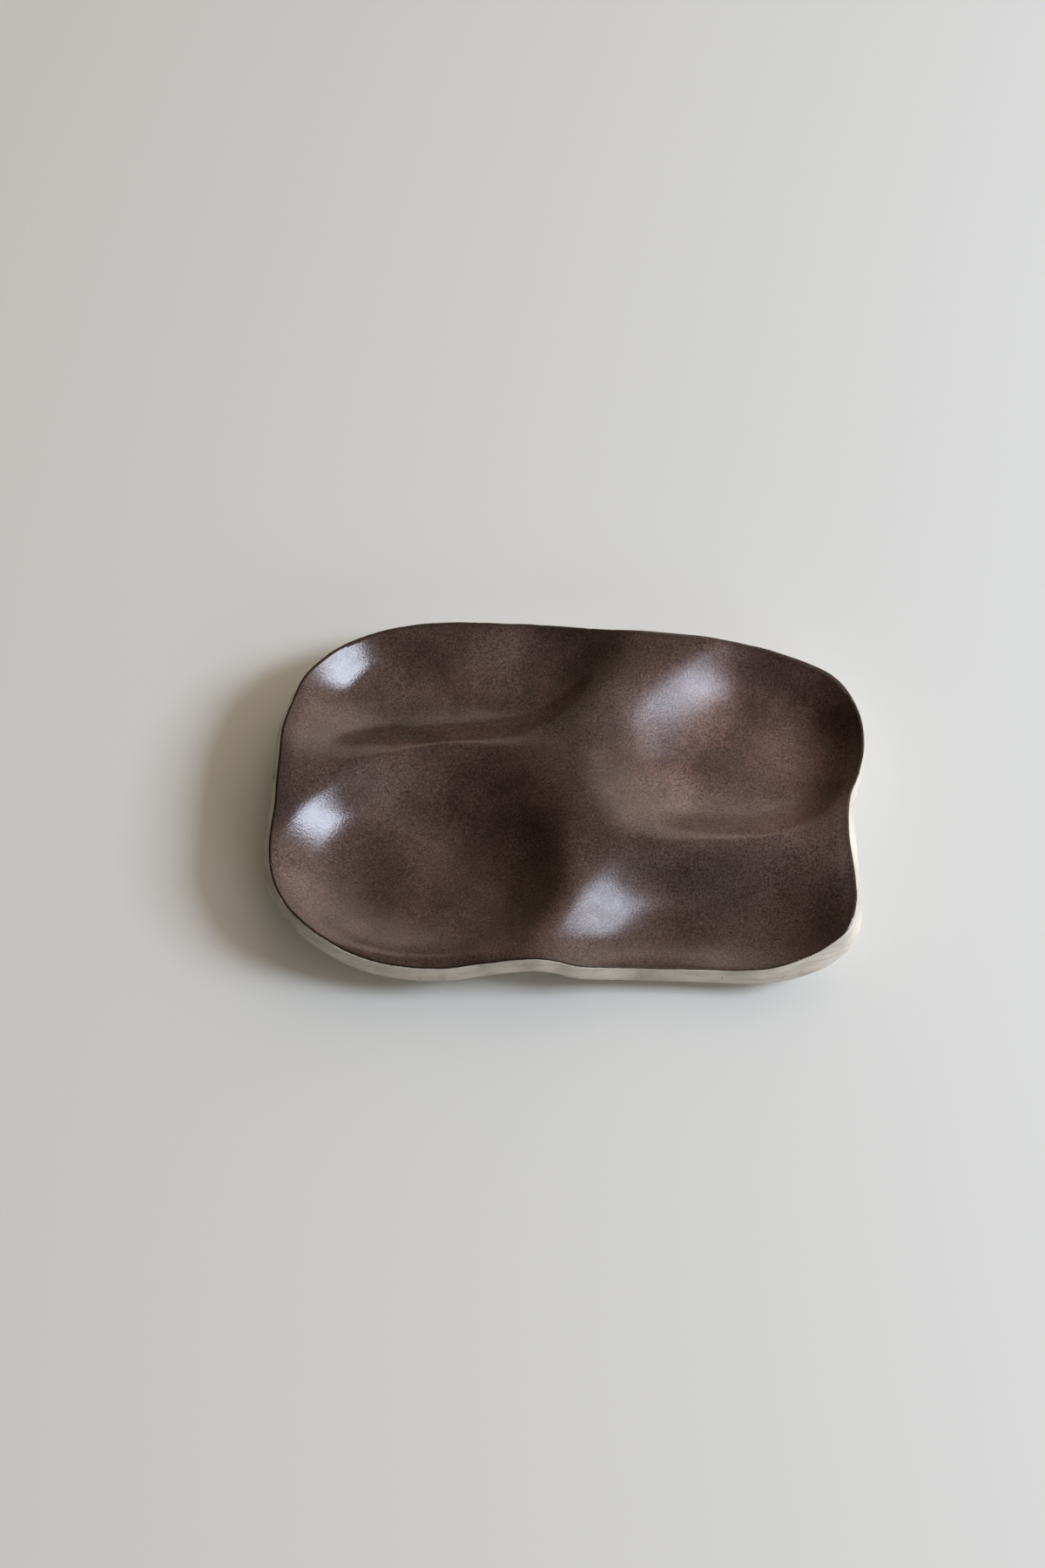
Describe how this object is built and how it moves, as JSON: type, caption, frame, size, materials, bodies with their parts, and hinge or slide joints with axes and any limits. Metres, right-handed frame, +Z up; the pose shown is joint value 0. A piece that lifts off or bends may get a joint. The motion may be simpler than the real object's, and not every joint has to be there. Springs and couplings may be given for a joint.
{
  "type": "snack plate",
  "caption": "Hand-pressed stoneware snack plate with soft-edged wells divided by low ridges, satin brown glaze on top and a bare clay edge and underside.",
  "frame": {"origin": "centre of the plate's outline, at the table it rests on", "axes": "+X along the plate's length to the right of the picture, +Y across it to the back, +Z up"},
  "size_m": [0.2296, 0.148, 0.0234],
  "materials": {
    "bare_stoneware": "bare fired clay, sponged smooth",
    "satin_brown_glaze": "satin brown glaze with fine dark speckle"
  },
  "bodies": {
    "root": {"stoneware_body": "bare_stoneware", "glaze_coat": "satin_brown_glaze"}
  },
  "joints": []
}
